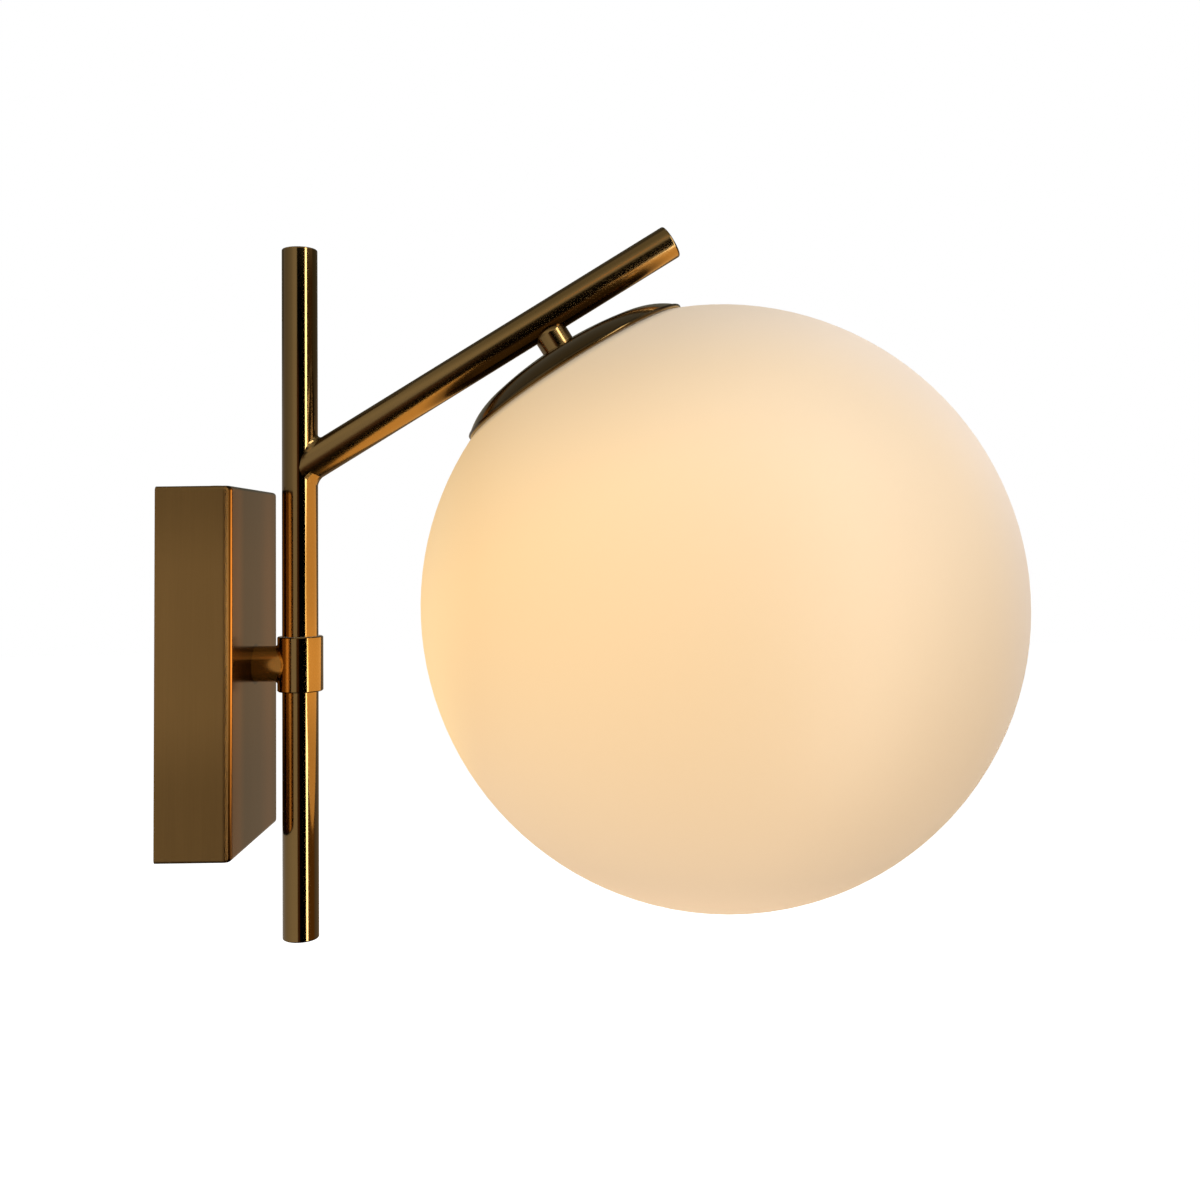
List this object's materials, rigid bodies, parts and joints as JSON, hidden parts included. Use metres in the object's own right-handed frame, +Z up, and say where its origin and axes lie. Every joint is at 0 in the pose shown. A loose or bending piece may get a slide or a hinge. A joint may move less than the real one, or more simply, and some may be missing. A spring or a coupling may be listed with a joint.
{
  "type": "globe wall sconce",
  "caption": "Wall light with a flat wall box, a slim swivelling upright in a collar, a rising branch arm and a round opal glass globe under a shallow cap.",
  "frame": {"origin": "centre of the wall bracket's back face, on the wall, level with the stub's axis and midway between the two wall-screw slots", "axes": "+X away from the wall along the stub, +Y sideways, +Z up along the upright"},
  "size_m": [0.2806, 0.2, 0.2382],
  "materials": {
    "brushed_bronze": "brushed antique brass, satin, fine upright grain",
    "polished_bronze": "antique brass tube, semi-gloss with fine cross-grain",
    "zinc_steel": "zinc-plated steel, satin",
    "plain_brass": "bare turned brass",
    "opal_glass": "opal white glass, satin outside",
    "black_rubber": "soft black rubber",
    "clear_silicone": "pale silicone",
    "white_plastic": "moulded white plastic, matt",
    "natural_nylon": "natural nylon, matt",
    "black_resin": "moulded black resin",
    "frosted_bulb": "frosted diffuser",
    "lead_brown": "brown lead insulation",
    "lead_blue": "blue lead insulation",
    "lead_green": "green and yellow lead insulation"
  },
  "bodies": {
    "wall_mount": {"wall_bracket": "zinc_steel", "wall_box": "brushed_bronze", "box_screws": "polished_bronze", "cable_grommet": "black_rubber", "terminal_block": "white_plastic", "terminal_fixing_screw": "zinc_steel", "terminal_inserts": "plain_brass", "terminal_screws": "zinc_steel", "earth_washer": "zinc_steel", "earth_screw": "plain_brass", "earth_tag": "plain_brass", "earth_lead": "lead_green", "stub_washer": "zinc_steel", "stub_nut": "zinc_steel", "stub_nipple": "zinc_steel", "stub_tube": "polished_bronze", "stub_braze": "polished_bronze", "collar": "polished_bronze", "collar_liner": "natural_nylon", "collar_grub_screw": "zinc_steel", "box_lead_live": "lead_brown", "box_lead_neutral": "lead_blue"},
    "arm": {"upright_tube": "polished_bronze", "upright_top_plug": "polished_bronze", "upright_bottom_plug": "polished_bronze", "arm_tube": "polished_bronze", "arm_weld": "polished_bronze", "arm_end_plug": "polished_bronze", "neck_ferrule": "polished_bronze", "neck_nipple": "zinc_steel", "neck_washer": "zinc_steel", "neck_nut": "zinc_steel", "globe_cap": "polished_bronze", "gallery_ring": "polished_bronze", "holder_cap": "black_resin", "holder_body": "black_resin", "holder_thread_shell": "plain_brass", "arm_lead_live": "lead_brown", "arm_lead_neutral": "lead_blue"},
    "globe_seal": {"globe_gasket": "clear_silicone"},
    "globe": {"globe_glass": "opal_glass"},
    "lamp_contact": {"holder_contact": "plain_brass"},
    "bulb": {"bulb_diffuser": "frosted_bulb", "bulb_body": "white_plastic", "bulb_shell": "zinc_steel", "bulb_insulator": "black_resin", "bulb_tip": "zinc_steel"}
  },
  "joints": [
    {"name": "arm_swivel", "type": "hinge", "parent": "wall_mount", "child": "arm", "pos_m": [0.039, 0, 0], "axis": [0, 0, 1], "range_deg": [-45, 45]},
    {"name": "globe_travel", "type": "slide", "parent": "arm", "child": "globe_seal", "axis": [0.518, 0, -0.8554], "range_m": [0, 0.0045]},
    {"name": "globe_unscrew", "type": "hinge", "parent": "globe_seal", "child": "globe", "pos_m": [0.18056, 0, 0.01861], "axis": [0.518, 0, -0.8554], "range_deg": [0, 540]},
    {"name": "bulb_travel", "type": "slide", "parent": "arm", "child": "lamp_contact", "axis": [0.518, 0, -0.8554], "range_m": [0, 0.0014]},
    {"name": "bulb_turn", "type": "hinge", "parent": "lamp_contact", "child": "bulb", "pos_m": [0.18056, 0, 0.01861], "axis": [0.518, 0, -0.8554], "range_deg": [0, 180]}
  ],
  "couplings": [
    {"joint": "globe_travel", "follows": "globe_unscrew", "m_per_rad": 0.000477},
    {"joint": "bulb_turn", "follows": "bulb_travel", "rad_per_m": 2232.1}
  ]
}
